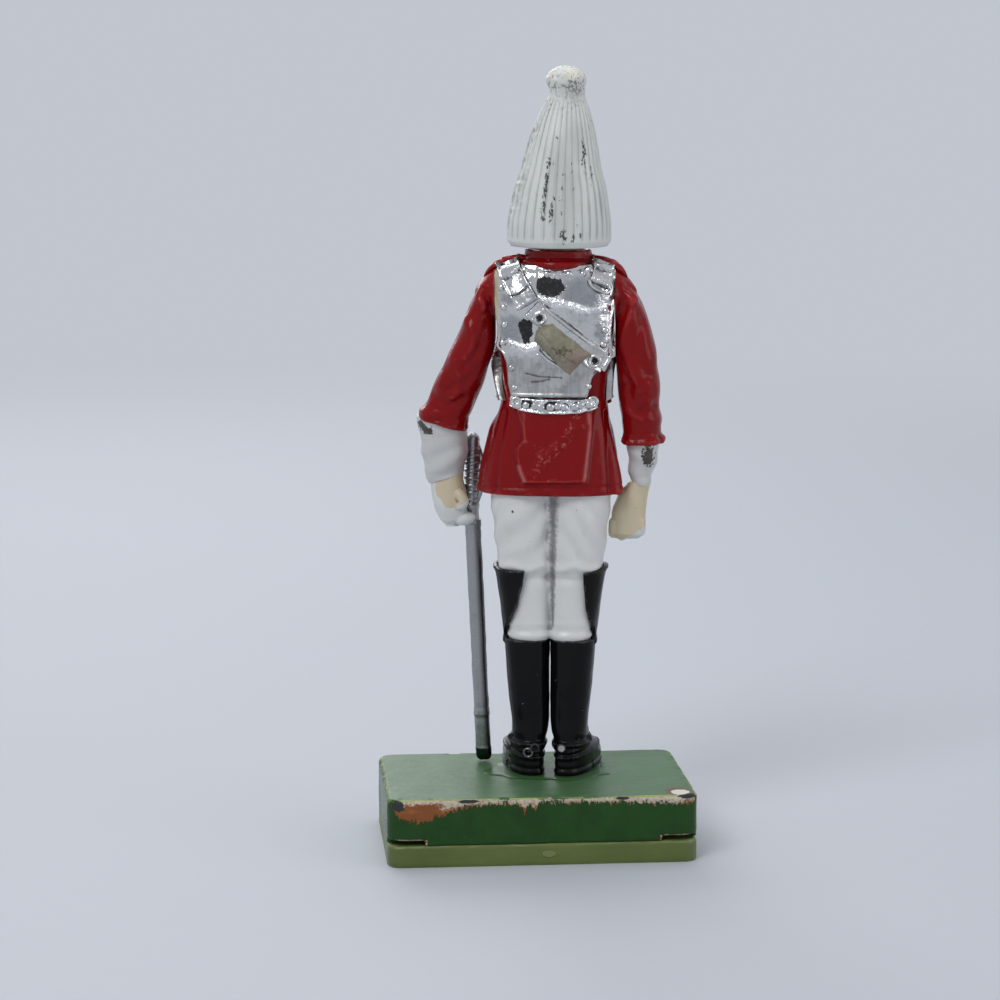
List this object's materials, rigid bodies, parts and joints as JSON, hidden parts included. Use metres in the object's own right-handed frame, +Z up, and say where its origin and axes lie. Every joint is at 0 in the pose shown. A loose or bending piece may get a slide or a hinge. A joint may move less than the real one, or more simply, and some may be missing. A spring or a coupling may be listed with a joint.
{
  "type": "toy soldier figure",
  "caption": "Toy soldier in helmet with white plume, cuirass, red tunic and long boots, on a block base, with turning head and swinging arms.",
  "frame": {"origin": "middle of the footprint, on the lower face of the under-plate", "axes": "+Z up; -Y to the front edge of the base, the way that the soldier faces; +X to the soldier's left"},
  "size_m": [0.03, 0.019, 0.0759],
  "materials": {
    "base_plastic": "moulded olive plastic, semi-matte",
    "base_paint": "gloss dark green enamel, chipped at the edges",
    "boot_black": "gloss black paint",
    "breeches_white": "satin white paint",
    "tunic_red": "gloss crimson paint",
    "cuirass_chrome": "bright vacuum plating, worn to black plastic at a few spots",
    "pouch_cream": "dull cream paint",
    "skin_paint": "satin flesh paint",
    "helmet_chrome": "bright plating",
    "chain_brass": "gold paint",
    "plume_white": "chalky white paint, worn along the ridges",
    "gauntlet_white": "gloss off-white paint",
    "sword_silver": "silver paint"
  },
  "bodies": {
    "figure": {"under_plate": "base_plastic", "base_block": "base_paint", "left_boot": "boot_black", "right_boot": "boot_black", "breeches": "breeches_white", "tunic": "tunic_red", "backplate": "cuirass_chrome", "breastplate": "cuirass_chrome", "left_shoulder_scales": "cuirass_chrome", "right_shoulder_scales": "cuirass_chrome", "back_belt": "cuirass_chrome", "front_belt": "cuirass_chrome", "cross_belt": "cuirass_chrome", "pouch": "pouch_cream"},
    "head_group": {"head": "skin_paint", "helmet": "helmet_chrome", "chin_chain": "chain_brass", "plume": "plume_white"},
    "left_arm_group": {"left_arm": "tunic_red", "left_gauntlet": "gauntlet_white", "left_hand": "skin_paint", "sword_hilt": "sword_silver", "scabbard": "sword_silver"},
    "right_arm_group": {"right_arm": "tunic_red", "right_gauntlet": "gauntlet_white", "right_hand": "skin_paint"}
  },
  "joints": [
    {"name": "head_turn", "type": "hinge", "parent": "figure", "child": "head_group", "pos_m": [-0.00229, -0.00092, 0.0595], "axis": [0, 0, 1], "continuous": true},
    {"name": "left_arm_swing", "type": "hinge", "parent": "figure", "child": "left_arm_group", "pos_m": [-0.002, -0.00097, 0.05413], "axis": [-0.9877, 0.1564, 0], "range_deg": [0, 90]},
    {"name": "right_arm_swing", "type": "hinge", "parent": "figure", "child": "right_arm_group", "pos_m": [-0.002, -0.00097, 0.05413], "axis": [-0.9877, 0.1564, 0], "range_deg": [-30, 90]}
  ]
}
